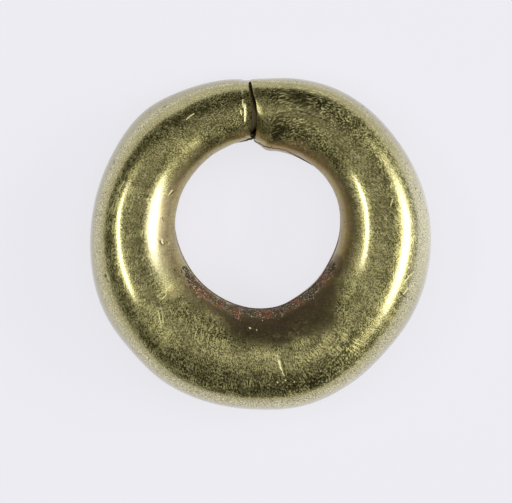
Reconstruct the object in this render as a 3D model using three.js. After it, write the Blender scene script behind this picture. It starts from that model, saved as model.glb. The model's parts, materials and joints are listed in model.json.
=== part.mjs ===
// A penannular earring: a tapered copper-alloy rod bent round into a nearly closed ring and covered in
// thin pale gold sheet. The sheet's long edges lap along the bore and a gold disc closes each end.
// Lengths are in millimetres. The ring lies on its side: +Z points up through the bore, the thick
// belly is towards -Y and the slit is near +Y. Clock angles run anticlockwise from +X, seen from above,
// and turns run anticlockwise from the slit, round the belly and back to the slit.

import * as THREE from "three";

// The ring
const boreRadius = 4.32; // mean radius of the hole
const bellyThickness = 5.47; // across the tube where it is thickest
const slitGap = 0.12; // between the two ends of the sheet, at the middle of the tube
const slitClock = 93; // degrees

// The sheet
const sheetThickness = 0.15;
const lapClearance = 0.03; // between the two layers of the lap
const rimTurnIn = 0.08; // how far each end is turned in round its disc
const rimLength = 0.12; // how much of the tube is turned in

// What the sheet covers
const coreClearance = 0.03; // from the rod to the sheet and to the discs
const discThickness = 0.2;
const discRecess = 0.04; // from the end of the sheet back to the face of the disc
const discClearance = 0.02; // round the disc, inside the mouth of the sheet

// The bore and the tube's thickness round the ring. Each row has the turn in degrees, the bore's
// radius as a share of the mean and the thickness as a share of the belly's.
const ringShares = [
  [0, 1.05, 0.583],
  [12, 1.055, 0.61],
  [27, 1.04, 0.666],
  [42, 1.012, 0.751],
  [64, 1.014, 0.775],
  [87, 1.02, 0.82],
  [117, 0.997, 0.933],
  [132, 0.996, 0.953],
  [147, 0.997, 0.989],
  [177, 1.02, 0.982],
  [192, 1.017, 1.0],
  [207, 0.984, 0.999],
  [222, 0.978, 0.967],
  [237, 0.968, 0.961],
  [267, 0.996, 0.88],
  [297, 1.01, 0.779],
  [327, 0.956, 0.761],
  [342, 0.932, 0.727],
  [351, 0.921, 0.702],
  [357, 0.973, 0.634],
  [360, 1.01, 0.607],
];

// Facets of the section are counted anticlockwise from the outside of the ring, over the top, to the
// bore and under. Corners stand half a facet on, so flats face out, up, in and down.
const sectionSides = 24;
const ringSteps = 48;
const freeEdgeFacet = 10; // the outer layer of the lap ends just above the middle of the bore
const hiddenEdgeFacet = 13; // the inner layer ends under it, just below the middle of the bore
const lapRampFacets = 2; // over these the outer layer comes down to the rod

const facetAngle = (2 * Math.PI) / sectionSides;
const lapLift = sheetThickness + lapClearance;

const outline = new THREE.CubicInterpolant(
  ringShares.map(([turn]) => turn),
  ringShares.flatMap(([, bore, thickness]) => [bore, thickness]),
  2,
);

// The tube at a turn. Its underside lies on the table all round, so its middle is as high as its radius.
function tubeAt(turn) {
  const [boreShare, thicknessShare] = outline.evaluate(turn);
  const radius = (bellyThickness * thicknessShare - lapLift) / 2;
  return {
    clock: THREE.MathUtils.degToRad(slitClock + turn),
    radius,
    centreRadius: boreRadius * boreShare + lapLift + radius,
  };
}

// A corner of the section whose flats stand at the given distance from the middle of the tube. The
// whole section can be moved by a length along the tube.
function corner(tube, flatDistance, facet, along = 0) {
  const angle = (facet + 0.5) * facetAngle;
  const reach = flatDistance / Math.cos(facetAngle / 2);
  const out = tube.centreRadius + reach * Math.cos(angle);
  const height = tube.radius + reach * Math.sin(angle);
  return [
    out * Math.cos(tube.clock) - along * Math.sin(tube.clock),
    out * Math.sin(tube.clock) + along * Math.cos(tube.clock),
    height,
  ];
}

// The two ends are flat and parallel to the slit. Each stands back from the slit's middle by a length
// along the tube, to the left of it at the first end and to the right at the last.
const firstTube = tubeAt(0);
const lastTube = tubeAt(360);

// The tubes between the ends, evenly spaced round the ring.
const innerTubes = Array.from({ length: ringSteps - 1 }, (_, i) => tubeAt((360 * (i + 1)) / ringSteps));

// One closed body from equal loops of corners, with a cap of triangles on the first and last loop.
function sweptBody(loops, capTriangles) {
  const count = loops[0].length;
  const index = [];
  for (let loop = 0; loop < loops.length - 1; loop += 1) {
    for (let i = 0; i < count; i += 1) {
      const a = loop * count + i;
      const b = loop * count + ((i + 1) % count);
      index.push(a, b + count, b, a, a + count, b + count);
    }
  }
  const last = (loops.length - 1) * count;
  for (const [a, b, c] of capTriangles) {
    index.push(a, b, c, last + a, last + c, last + b);
  }
  const geometry = new THREE.BufferGeometry();
  geometry.setAttribute("position", new THREE.Float32BufferAttribute(loops.flat(2), 3));
  geometry.setIndex(index);
  geometry.computeVertexNormals();
  return geometry;
}

// The rod, solid and round, stopping short of the discs.
function coreRodGeometry() {
  const back = slitGap / 2 + discRecess + discThickness + coreClearance;
  const section = (tube, along) => {
    const flatDistance = tube.radius - sheetThickness - coreClearance;
    return Array.from({ length: sectionSides }, (_, facet) => corner(tube, flatDistance, facet, along));
  };
  const loops = [
    section(firstTube, back),
    ...innerTubes.map((tube) => section(tube, 0)),
    section(lastTube, -back),
  ];
  const cap = Array.from({ length: sectionSides - 2 }, (_, i) => [0, i + 1, i + 2]);
  return sweptBody(loops, cap);
}

// How far a facet of the sheet is lifted off the rod. It is lifted where it lies on the other layer.
function liftAt(facet) {
  const down = (facet - hiddenEdgeFacet) / lapRampFacets;
  return lapLift * THREE.MathUtils.clamp(1 - down, 0, 1);
}

// The sheet, from its free edge in the bore, under the rod, round the outside, over the top and back
// into the bore, where it ends under the free edge.
function goldSheetGeometry() {
  const facets = [];
  for (let facet = freeEdgeFacet; facet <= hiddenEdgeFacet + sectionSides; facet += 1) {
    facets.push(facet);
  }
  const section = (tube, turnIn, along) => {
    const outsideAt = (facet) => tube.radius - turnIn + liftAt(facet);
    const outside = facets.map((facet) => corner(tube, outsideAt(facet), facet, along));
    const inside = facets.map((facet) => corner(tube, outsideAt(facet) - sheetThickness, facet, along));
    return [...outside, ...inside.reverse()];
  };
  const back = slitGap / 2;
  const loops = [
    section(firstTube, rimTurnIn, back),
    section(firstTube, 0, back + rimLength),
    ...innerTubes.map((tube) => section(tube, 0, 0)),
    section(lastTube, 0, -back - rimLength),
    section(lastTube, rimTurnIn, -back),
  ];
  const count = 2 * facets.length;
  const cap = facets.slice(1).flatMap((_, i) => [
    [i, i + 1, count - 2 - i],
    [i, count - 2 - i, count - 1 - i],
  ]);
  return sweptBody(loops, cap);
}

// A disc seated in the mouth of the sheet. The group turns it to face the slit; side points from the
// slit into the tube, 1 at the left end of the ring and -1 at the right.
function endDisc(name, tube, side, material) {
  const radius = tube.radius - rimTurnIn - sheetThickness - discClearance;
  const disc = new THREE.Mesh(
    new THREE.CylinderGeometry(radius, radius, discThickness, sectionSides),
    material,
  );
  disc.name = name;
  disc.position.set(
    tube.centreRadius,
    side * (slitGap / 2 + discRecess + discThickness / 2),
    tube.radius,
  );
  const end = new THREE.Group();
  end.rotation.z = tube.clock;
  end.add(disc);
  return end;
}

function finish(color, roughness) {
  return new THREE.MeshStandardMaterial({ color, roughness, metalness: 1 });
}

const coreRod = new THREE.Mesh(coreRodGeometry(), finish("#7d4a36", 0.6));
coreRod.name = "core_rod";

const goldSheet = new THREE.Mesh(goldSheetGeometry(), finish("#c9bf8a", 0.28));
goldSheet.name = "gold_sheet";

const ring = new THREE.Group();
ring.add(coreRod, goldSheet);
ring.add(endDisc("end_disc_left", firstTube, 1, finish("#b3a874", 0.4)));
ring.add(endDisc("end_disc_right", lastTube, -1, finish("#b3a874", 0.4)));

// The origin is under the middle of the ring, on the table.
const extent = new THREE.Box3().setFromObject(ring);
const middle = extent.getCenter(new THREE.Vector3());
ring.position.set(-middle.x, -middle.y, -extent.min.z);

export default ring;
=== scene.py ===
import json
import math

import bpy
import numpy as np
from mathutils import Matrix, Vector
from mathutils.bvhtree import BVHTree


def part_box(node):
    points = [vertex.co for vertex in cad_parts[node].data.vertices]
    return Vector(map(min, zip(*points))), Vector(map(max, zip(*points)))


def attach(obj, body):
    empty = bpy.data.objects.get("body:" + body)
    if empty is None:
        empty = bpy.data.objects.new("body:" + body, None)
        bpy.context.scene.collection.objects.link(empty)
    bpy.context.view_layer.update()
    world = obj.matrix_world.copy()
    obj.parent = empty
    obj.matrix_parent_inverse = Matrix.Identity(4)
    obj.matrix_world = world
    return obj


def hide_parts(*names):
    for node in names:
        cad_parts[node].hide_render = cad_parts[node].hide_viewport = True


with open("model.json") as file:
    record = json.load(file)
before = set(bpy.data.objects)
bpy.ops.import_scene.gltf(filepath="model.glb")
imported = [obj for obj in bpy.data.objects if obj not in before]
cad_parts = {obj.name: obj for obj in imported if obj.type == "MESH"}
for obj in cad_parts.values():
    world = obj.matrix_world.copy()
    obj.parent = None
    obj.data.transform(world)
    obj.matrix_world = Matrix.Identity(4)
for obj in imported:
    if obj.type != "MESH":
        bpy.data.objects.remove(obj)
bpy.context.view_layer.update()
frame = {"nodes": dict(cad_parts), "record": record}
toMetres = 0.001
seed = 7
# each use of the noise below draws from its own number on
noiseDraws = {"freeEdge": 1, "collar": 5, "work": 10, "rod": 30, "crust": 50}


# The photograph's framing. A pixel there is this many millimetres.
photoView = {
    "pixelsAcross": 512,
    "pixelsDown": 503,
    "ringPixels": 341,  # width of the ring
    "ringMiddlePixel": (260.5, 243.5),
    "distance": 150.0,  # camera above the ring
    "sensor": 36.0,
    "clip": (0.001, 10.0),  # metres
}
ringLow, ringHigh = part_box("gold_sheet")
ringWidth = (ringHigh.x - ringLow.x) / toMetres
pixelSize = ringWidth / photoView["ringPixels"]


def softNoise(x, y, offset):
    # smooth noise from -1 to 1, the same each run
    size = 64
    lattice = np.random.default_rng(seed + offset).random((size, size)) * 2 - 1
    x0, y0 = np.floor(x).astype(int), np.floor(y).astype(int)
    fx, fy = x - x0, y - y0
    fx, fy = fx * fx * (3 - 2 * fx), fy * fy * (3 - 2 * fy)
    a, b = lattice[x0 % size, y0 % size], lattice[(x0 + 1) % size, y0 % size]
    c, d = lattice[x0 % size, (y0 + 1) % size], lattice[(x0 + 1) % size, (y0 + 1) % size]
    return (a * (1 - fx) + b * fx) * (1 - fy) + (c * (1 - fx) + d * fx) * fy


def easeBetween(value, low, high):
    share = np.clip((value - low) / (high - low), 0, 1)
    return share * share * (3 - 2 * share)


def byTurn(rows, turn):
    # from rows of [turn, amount]
    return np.interp(turn, *np.array(rows, float).T)


def splineThrough(knots, values):
    # natural cubic spline, so that reflections run smoothly over it
    x, y = np.asarray(knots, float), np.asarray(values, float)
    gap = np.diff(x)
    count = len(x)
    matrix, right = np.eye(count), np.zeros(count)
    for i in range(1, count - 1):
        matrix[i, i - 1 : i + 2] = gap[i - 1], 2 * (gap[i - 1] + gap[i]), gap[i]
        right[i] = 6 * ((y[i + 1] - y[i]) / gap[i] - (y[i] - y[i - 1]) / gap[i - 1])
    bend = np.linalg.solve(matrix, right)

    def at(value):
        i = np.clip(np.searchsorted(x, value) - 1, 0, count - 2)
        before, after, step = x[i + 1] - value, value - x[i], gap[i]
        return (
            (bend[i] * before**3 + bend[i + 1] * after**3) / (6 * step)
            + (y[i] / step - bend[i] * step / 6) * before
            + (y[i + 1] / step - bend[i + 1] * step / 6) * after
        )

    return at


# The tube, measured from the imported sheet. Turns run in degrees from the slit, anticlockwise from above.
measuring = {
    "slitClock": 93.0,
    "turnStep": 7.5,
    "endTurn": 2.6,  # the first and the last turn, clear of the ends
    "offEdge": 0.05,  # beside the solid's own edges
    "reach": 30.0,
    "rounds": 4,
    "planeStep": 5.0,
}


def measureTube():
    node = frame["nodes"]["gold_sheet"]
    tree = BVHTree.FromPolygons(
        [v.co / toMetres for v in node.data.vertices],
        [tuple(p.vertices) for p in node.data.polygons],
    )
    corners = np.array(frame["record"]["physics"]["openings"][0]["box_m"]) / toMetres
    middle = corners.mean(0)[:2]
    reach = measuring["reach"]
    turns = np.arange(measuring["turnStep"], 360, measuring["turnStep"]) + measuring["offEdge"]
    turns = np.concatenate([[measuring["endTurn"]], turns, [360 - measuring["endTurn"]]])
    centreRadii, tubeRadii, lifts = [], [], []
    for turn in turns:
        clock = math.radians(measuring["slitClock"] + turn)
        out = Vector((math.cos(clock), math.sin(clock), 0))
        height = (ringHigh.z / toMetres) / 3  # a first guess
        for _ in range(measuring["rounds"]):
            base = Vector((middle[0], middle[1], height))
            boreSide = (tree.ray_cast(base, out)[0] - base).length
            outside = (tree.ray_cast(base + out * reach, -out)[0] - base).length
            top = Vector((middle[0], middle[1], reach)) + out * (boreSide + outside) / 2
            height = tree.ray_cast(top, Vector((0, 0, -1)))[0].z / 2
        tubeRadii.append(height)
        centreRadii.append(outside - height)
        lifts.append(outside - 2 * height - boreSide)
    return (
        middle,
        splineThrough(turns, centreRadii),
        splineThrough(turns, tubeRadii),
        float(np.median(lifts)),
    )


boreMiddle, centreRadiusAt, tubeRadiusAt, lapLift = measureTube()
print("tube measured: lap stands", round(lapLift, 3), "mm proud in the bore")


# The camera looks squarely at the ring's own plane, which slopes because the belly is thicker than the ends
def ringPlane():
    turns = np.arange(0, 360, measuring["planeStep"])
    clock = np.radians(measuring["slitClock"] + turns)
    out = centreRadiusAt(turns)
    x, y = boreMiddle[0] + out * np.cos(clock), boreMiddle[1] + out * np.sin(clock)
    level, slopeX, slopeY = np.linalg.lstsq(
        np.stack([np.ones_like(x), x, y], 1), tubeRadiusAt(turns), rcond=None
    )[0]
    normal = np.array([-slopeX, -slopeY, 1])
    normal /= np.linalg.norm(normal)
    right = np.array([1, 0, 0]) - normal * normal[0]
    right /= np.linalg.norm(right)
    up = np.cross(normal, right)
    # the middle of the outline in that view
    centres = np.array([x, y, tubeRadiusAt(turns)]).T
    middle = normal * normal[2] * level
    for axis in (right, up):
        along, half = centres @ axis, tubeRadiusAt(turns)
        middle = middle + axis * ((along + half).max() + (along - half).min()) / 2
    print("ring's plane tilts", round(math.degrees(math.acos(normal[2])), 2), "degrees")
    return middle, right, up, normal


viewMiddle, viewRight, viewUp, viewAxis = ringPlane()


def cameraPlace():
    view = photoView
    middleX, middleY = view["ringMiddlePixel"]
    return (
        viewMiddle
        + viewRight * (view["pixelsAcross"] / 2 - middleX) * pixelSize
        + viewUp * (middleY - view["pixelsDown"] / 2) * pixelSize
        + viewAxis * view["distance"]
    )


def photoPixel(points):
    # where points of the ring, in millimetres, lie in the photograph
    fromCamera = points - cameraPlace()
    size = photoView["distance"] / -(fromCamera @ viewAxis) / pixelSize
    return (
        photoView["pixelsAcross"] / 2 + fromCamera @ viewRight * size,
        photoView["pixelsDown"] / 2 - fromCamera @ viewUp * size,
    )


def placeOnRing(turn, angle, reach, shiftTurn=0.0):
    # turn and angle in degrees, the angle round the section (0 outside, 90 top, 180 bore),
    # and the reach from the tube's middle
    clock = np.radians(measuring["slitClock"] + turn + shiftTurn)
    out = centreRadiusAt(turn) + reach * np.cos(np.radians(angle))
    height = tubeRadiusAt(turn) + reach * np.sin(np.radians(angle))
    return np.stack(
        [boreMiddle[0] + out * np.cos(clock), boreMiddle[1] + out * np.sin(clock), height], -1
    )


def makeMesh(name, points, faces, attributes=None):
    mesh = bpy.data.meshes.new(name)
    mesh.from_pydata((np.asarray(points) * toMetres).tolist(), [], faces)
    mesh.shade_smooth()
    for key, values in (attributes or {}).items():
        layer = mesh.attributes.new(key, "FLOAT", "POINT")
        layer.data.foreach_set("value", np.asarray(values, np.float32))
    piece = bpy.data.objects.new(name, mesh)
    bpy.context.scene.collection.objects.link(piece)
    return piece


# The sheet. Its free edge runs along the bore.
sheetForm = {
    "thickness": 0.15,
    "turnSteps": 720,
    "facesAround": 208,
    "innerShare": 4,  # outer faces to one inner face
    "hiddenEdge": 226.0,  # degrees
    "edgePoints": 3,
    "freeEdge": [  # [turn, angle of the edge, thickness of the edge]
        [0, 163, 0.07],
        [8, 167, 0.06],
        [20, 180, 0.045],
        [60, 188, 0.04],
        [120, 184, 0.04],
        [160, 180, 0.05],
        [196, 178, 0.045],
        [205, 173, 0.045],
        [215, 171, 0.050],
        [229, 172, 0.050],
        [240, 179, 0.045],
        [300, 186, 0.045],
        [320, 178, 0.06],
        [331, 161, 0.024],
        [342, 157, 0.022],
        [352, 156, 0.028],
        [358, 160, 0.060],
        [360, 165, 0.060],
    ],
    # [degrees of turn, degrees of angle] that the free edge wanders, up to twice as far beside the slit
    "ragged": [(6.0, 1.5), (1.6, 1.2), (0.5, 0.6)],
    "raggedBeside": 14.0,
    # coming over the top, the under layer swells between two angles, and is done this far above the free edge
    "swellTop": (120.0, 172.0, 6.0),
    "tuck": (22.0, 6.0),  # between these degrees above the free edge it dips to pass beneath
    "edgeSink": 0.004,  # deeper than the edge is thick
    "swellUnder": (206.0, 236.0),  # the outer layer comes down between these, past the hidden edge
    "work": [(2.2, 0.006), (0.8, 0.0015)],  # [size, height] of the hammer's waves
    "workFrom": (40, 20),  # where in their noise they start
    # how the worked section departs from round: [turn, rise, lean, square, ripple]
    "section": [
        [0, 0.080, -0.120, 0.030, -0.010],
        [20, 0.131, -0.216, 0.012, -0.027],
        [40, -0.053, -0.147, -0.041, -0.038],
        [60, -0.004, -0.077, -0.053, -0.012],
        [80, 0.012, -0.050, -0.015, -0.021],
        [100, -0.050, -0.031, -0.045, -0.005],
        [120, -0.112, -0.053, -0.055, 0.006],
        [140, -0.045, -0.004, -0.009, 0.012],
        [160, -0.086, -0.020, 0.037, 0.010],
        [180, 0.000, -0.035, 0.055, -0.009],
        [200, -0.002, 0.042, 0.041, -0.045],
        [220, -0.016, 0.011, -0.007, -0.023],
        [240, -0.163, -0.084, -0.017, -0.009],
        [260, -0.047, -0.128, 0.020, -0.006],
        [280, 0.004, -0.136, 0.035, -0.008],
        [300, 0.048, -0.137, 0.018, -0.012],
        [320, -0.052, -0.088, 0.027, -0.022],
        [340, -0.080, 0.000, 0.040, -0.025],
        [348, -0.060, 0.000, 0.025, -0.015],
        [354, 0.110, 0.000, 0.015, -0.005],
        [357, 0.300, 0.000, 0.005, 0.000],
        [360, 0.470, 0.000, 0.000, 0.000],
    ],
    "sectionFade": (-0.55, -0.05),  # sine of the angle at which that form has died away beneath
    "rimLength": 0.04,
    "rimTurnIn": 0.020,
    # [length, drop] of the bevel behind each rim
    "rimBevel": {"left": [0.07, 0.024], "right": [0.06, 0.014]},
    # the left end is drawn in behind its rim
    "collar": {"length": 0.34, "blend": 0.10, "step": 0.035, "wander": 0.03, "wanderSize": 9.0},
    # the line of each end across the tube: [share from bore (-1) to outside (1), mm from the slit's middle]
    "leftEnd": [
        (-1, 0.05), (-0.93, 0.12), (-0.83, 0.20), (-0.47, 0.12), (-0.15, 0.057),
        (0.02, 0.015), (0.15, -0.010), (0.39, 0.045), (0.69, 0.090), (1, 0.140),
    ],
    "rightEnd": [
        (-1, -0.05), (-0.93, -0.02), (-0.83, 0.05), (-0.68, 0.12), (-0.47, 0.17), (-0.09, 0.195),
        (0.2, 0.165), (0.39, 0.080), (0.69, 0.010), (1, -0.055),
    ],
    "endFade": 12.0,  # degrees over which an end's line fades into the ring
    "slant": 0.40,  # the slit steps to the right on its way down
    "slantFrom": (0.0, 0.5),  # between these shares below the tube's middle
    # mm from an end at which the mesh has a loop, closer together at the rim and at the collar
    "rimLoops": [
        0, 0.004, 0.012, 0.024, 0.04, 0.07, 0.1, 0.14, 0.19, 0.25, 0.3, 0.335, 0.37, 0.405, 0.44, 0.48,
    ],
    "bunching": 0.1,  # how much closer together the points are by the free edge
    "dentsAbove": -0.1,  # sine of the angle
    "thinTo": (20.0, 70.0),  # degrees from the free edge over which the sheet comes to its full thickness
}

# Dents and cuts, each from one pixel of the photograph to another
dents = {
    "bellyNick": {"from": (278, 356), "to": (284, 375), "width": 0.10, "depth": 0.030},
    "shoulderCut": {"from": (400, 293), "to": (406, 298), "width": 0.05, "depth": 0.030},
    "flankPit": {"from": (106, 276), "to": (106.5, 277), "width": 0.07, "depth": 0.05},
    "topCrease": {"from": (299, 110), "to": (330, 120), "width": 0.05, "depth": 0.010},
    "topLeftScore": {"from": (186, 120), "to": (194, 113), "width": 0.05, "depth": 0.010},
    "borePitA": {"from": (161, 241), "to": (163, 244), "width": 0.07, "depth": 0.04},
    "borePitB": {"from": (167, 243), "to": (168, 245), "width": 0.06, "depth": 0.03},
    "borePitC": {"from": (170, 191), "to": (170.5, 194), "width": 0.06, "depth": 0.03},
}

# How the gold has worn, as rows of [turn, amount] and as spots at pixels of the photograph. Shares run
# from the bore (-1) to the outside (1) of the tube.
wear = {
    "boreByTurn": [  # how brown
        [0, 0.4], [30, 0.5], [60, 0.95], [90, 1.0], [120, 0.9], [150, 0.9],
        [210, 1.0], [240, 1.0], [300, 1.0], [330, 0.6], [360, 0.4],
    ],
    "boreShare": (0.50, 0.80),  # how far towards the bore the brown starts and is full
    "dustAndReflectionByTurn": [  # the share where the dust and the painted reflection of the pale table start
        [0, 0.82], [27, 0.80], [57, 0.73], [87, 0.69], [117, 0.75], [147, 0.70], [177, 0.69],
        [207, 0.66], [237, 0.66], [267, 0.56], [282, 0.68], [297, 0.82], [327, 0.84], [360, 0.82],
    ],
    "dustAndReflectionFade": 0.08,
    "paintedShadeEdgeShare": (0.86, 0.98),  # where the outline is duller, painted darker as painted shade
    "paintedHighlightShare": (0.48, 0.80),  # where the right flank is pale, a painted highlight from the right lamp
    "paintedHighlightPower": 12,  # the higher, the shorter that part of the flank with its painted highlight
    "frayedTurns": (322.0, 336.0),
    "frayedAngles": (6.0, 16.0),  # degrees above the free edge
    "topSine": (-0.2, 0.0),  # spots and marks fade out beneath
    "pitShare": (0.70, 0.85),
    "pitsOnTop": 0.1,
    "scuffShare": (0.72, 0.85),  # over these, outwards and in the bore, the scuffs thin out to what follows
    "outerScuffs": 0.2,
    "boreScuffsByTurn": [[0, 0.2], [40, 0.2], [58, 0.9], [118, 0.9], [138, 0.2], [360, 0.2]],
    "strokesUnscuffed": 0.4,  # of the strokes, where nothing is scuffed
    "scuffsByTurn": [
        [0, 1.0], [45, 1.0], [66, 0.75], [82, 0.6], [96, 0.6], [108, 0.8], [120, 1.0], [177, 1.0],
        [232, 1.0], [246, 0.85], [260, 0.65], [278, 0.6], [292, 0.8], [304, 1.0], [360, 1.0],
    ],
    "crosswiseByTurn": [  # strokes across the tube
        [0, 0.25], [45, 0.3], [70, 0.2], [105, 0.2], [135, 1.0],
        [215, 1.0], [245, 0.5], [290, 0.3], [360, 0.25],
    ],
    "lengthwiseByTurn": [  # and along it
        [0, 0.0], [50, 0.1], [68, 0.9], [82, 1.0], [105, 0.9], [130, 0.2], [225, 0.25], [245, 0.7],
        [270, 1.0], [292, 0.7], [310, 0.1], [360, 0.0],
    ],
    "stains": [  # [pixel across, pixel down, half width, half height, strength]
        [266, 321, 42, 24, 0.85],
        [300, 318, 38, 20, 0.80],
        [322, 296, 16, 22, 0.70],
        [281, 340, 13, 3.5, 0.9],
        [252, 330, 14, 7, 0.9],
        [172, 297, 7, 6, 0.35],
        [337, 266, 7, 12, 0.6],
        [143, 205, 4, 10, 0.3],
    ],
    "hazesWithPaintedHighlight": [[160, 232, 17, 50, 0.45]],  # the same, rougher and paler, the paleness a painted highlight
    "rusts": [  # the same, orange brown
        [262, 137.5, 10, 4, 0.80],
        [286, 148, 26, 8, 0.85],
        [311, 162, 17, 11, 0.80],
        [243, 134, 10, 2.5, 0.8],
        [172, 292, 5, 3, 0.4],
        [387, 196, 5, 9, 0.15],
    ],
}


def dentDepth(points):
    # seen from above only
    pixelX, pixelY = photoPixel(points)
    depth = np.zeros_like(pixelX)
    for dent in dents.values():
        start, end = np.array(dent["from"], float), np.array(dent["to"], float)
        along = end - start
        share = ((pixelX - start[0]) * along[0] + (pixelY - start[1]) * along[1]) / (along @ along)
        share = np.clip(share, 0, 1)
        away = np.hypot(pixelX - start[0] - share * along[0], pixelY - start[1] - share * along[1])
        depth += dent["depth"] * np.exp(-((away * pixelSize / dent["width"]) ** 2) * 2)
    return depth


def stainStrength(points, spots):
    pixelX, pixelY = photoPixel(points)
    strength = np.zeros_like(pixelX)
    for across, down, halfWidth, halfHeight, amount in spots:
        away = ((pixelX - across) / halfWidth) ** 2 + ((pixelY - down) / halfHeight) ** 2
        strength = np.maximum(strength, amount * np.exp(-(away**4)))
    return strength


sectionTurns, *sectionWaves = np.array(sheetForm["section"], float).T
sectionCurves = [splineThrough(sectionTurns, wave) for wave in sectionWaves]


def workedForm(turn, angle):
    # how far the worked section stands off a round one
    around = np.radians(angle)
    form = sum(curve(turn) * np.sin((i + 1) * around) for i, curve in enumerate(sectionCurves))
    return form * easeBetween(np.sin(around), *sheetForm["sectionFade"])


def freeEdgeAt(turn):
    # angle and thickness of the sheet's free edge
    turns, angles, thicks = np.array(sheetForm["freeEdge"], float).T
    angle = np.interp(turn, turns, angles)
    nearSlit = np.exp(-np.minimum(turn, 360 - turn) / sheetForm["raggedBeside"])
    for index, (size, amount) in enumerate(sheetForm["ragged"]):
        wander = softNoise(turn / size, turn * 0, noiseDraws["freeEdge"] + index)
        angle = angle + amount * (1 + nearSlit) * wander
    return angle, np.interp(turn, turns, thicks)


def alongEnds(turn):
    # distance from the left and from the right end, on the tube's middle line
    radius = float(centreRadiusAt(0.0))
    return np.radians(turn) * radius, np.radians(360 - turn) * radius


def standAt(turn, angle):
    # how far the sheet's outer face stands off the plain tube
    form = sheetForm
    freeAngle, freeThick = freeEdgeAt(turn)
    outerLayer = 1 - easeBetween(angle, *form["swellUnder"])
    swellFrom, swellTo, aboveEdge = form["swellTop"]
    underLayer = easeBetween(angle - 360, swellFrom, np.minimum(swellTo, freeAngle - aboveEdge))
    tuckFrom, tuckTo = form["tuck"]
    tuck = easeBetween(angle - 360, freeAngle - tuckFrom, freeAngle - tuckTo)
    stand = lapLift * (outerLayer + underLayer) - (freeThick + form["edgeSink"]) * tuck
    stand = stand + workedForm(turn, angle)
    arc = np.radians(turn) * centreRadiusAt(turn)
    around = np.radians(angle) * tubeRadiusAt(turn)
    fromArc, fromAround = form["workFrom"]
    for index, (size, height) in enumerate(form["work"]):
        wave = softNoise(arc / size + fromArc, around / size + fromAround, noiseDraws["work"] + index)
        stand = stand + height * wave * (1 - outerLayer)
    fromLeft, fromRight = alongEnds(turn)
    for along, side in ((fromLeft, "left"), (fromRight, "right")):
        rim = np.clip(1 - along / form["rimLength"], 0, 1)
        length, drop = form["rimBevel"][side]
        bevel = np.clip(1 - along / length, 0, 1) * drop
        stand = stand - form["rimTurnIn"] * (1 - np.sqrt(1 - rim**2)) - bevel
    collar = form["collar"]
    wander = softNoise(angle / collar["wanderSize"], angle * 0, noiseDraws["collar"])
    start = collar["length"] + collar["wander"] * wander
    return stand - collar["step"] * (1 - easeBetween(fromLeft - start, 0, collar["blend"]))


def endLine(points, share):
    shares, offsets = zip(*points)
    return np.interp(share, shares, offsets)


def endOffset(side, outPart, upPart):
    # mm from the slit's middle to an end, at a share outwards and upwards of the tube's radius
    slant = sheetForm["slant"] * easeBetween(-upPart, *sheetForm["slantFrom"])
    if side == "left":
        return endLine(sheetForm["leftEnd"], outPart) - slant
    return endLine(sheetForm["rightEnd"], outPart) + slant


def endShift(turn, angle):
    # degrees that a point moves so that each end follows its own line
    outPart, upPart = np.cos(np.radians(angle)), np.sin(np.radians(angle))
    localRadius = centreRadiusAt(turn) + tubeRadiusAt(turn) * outPart
    leftFade = 1 - easeBetween(turn, 0, sheetForm["endFade"])
    rightFade = 1 - easeBetween(360 - turn, 0, sheetForm["endFade"])
    shift = endOffset("left", outPart, upPart) * leftFade - endOffset("right", outPart, upPart) * rightFade
    return np.degrees(shift / localRadius)


def sweptFaces(loopCount, perLoop):
    faces = []
    for loop in range(loopCount - 1):
        base = loop * perLoop
        for i in range(perLoop):
            j = (i + 1) % perLoop
            faces.append((base + i, base + perLoop + i, base + perLoop + j, base + j))
    return faces


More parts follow.
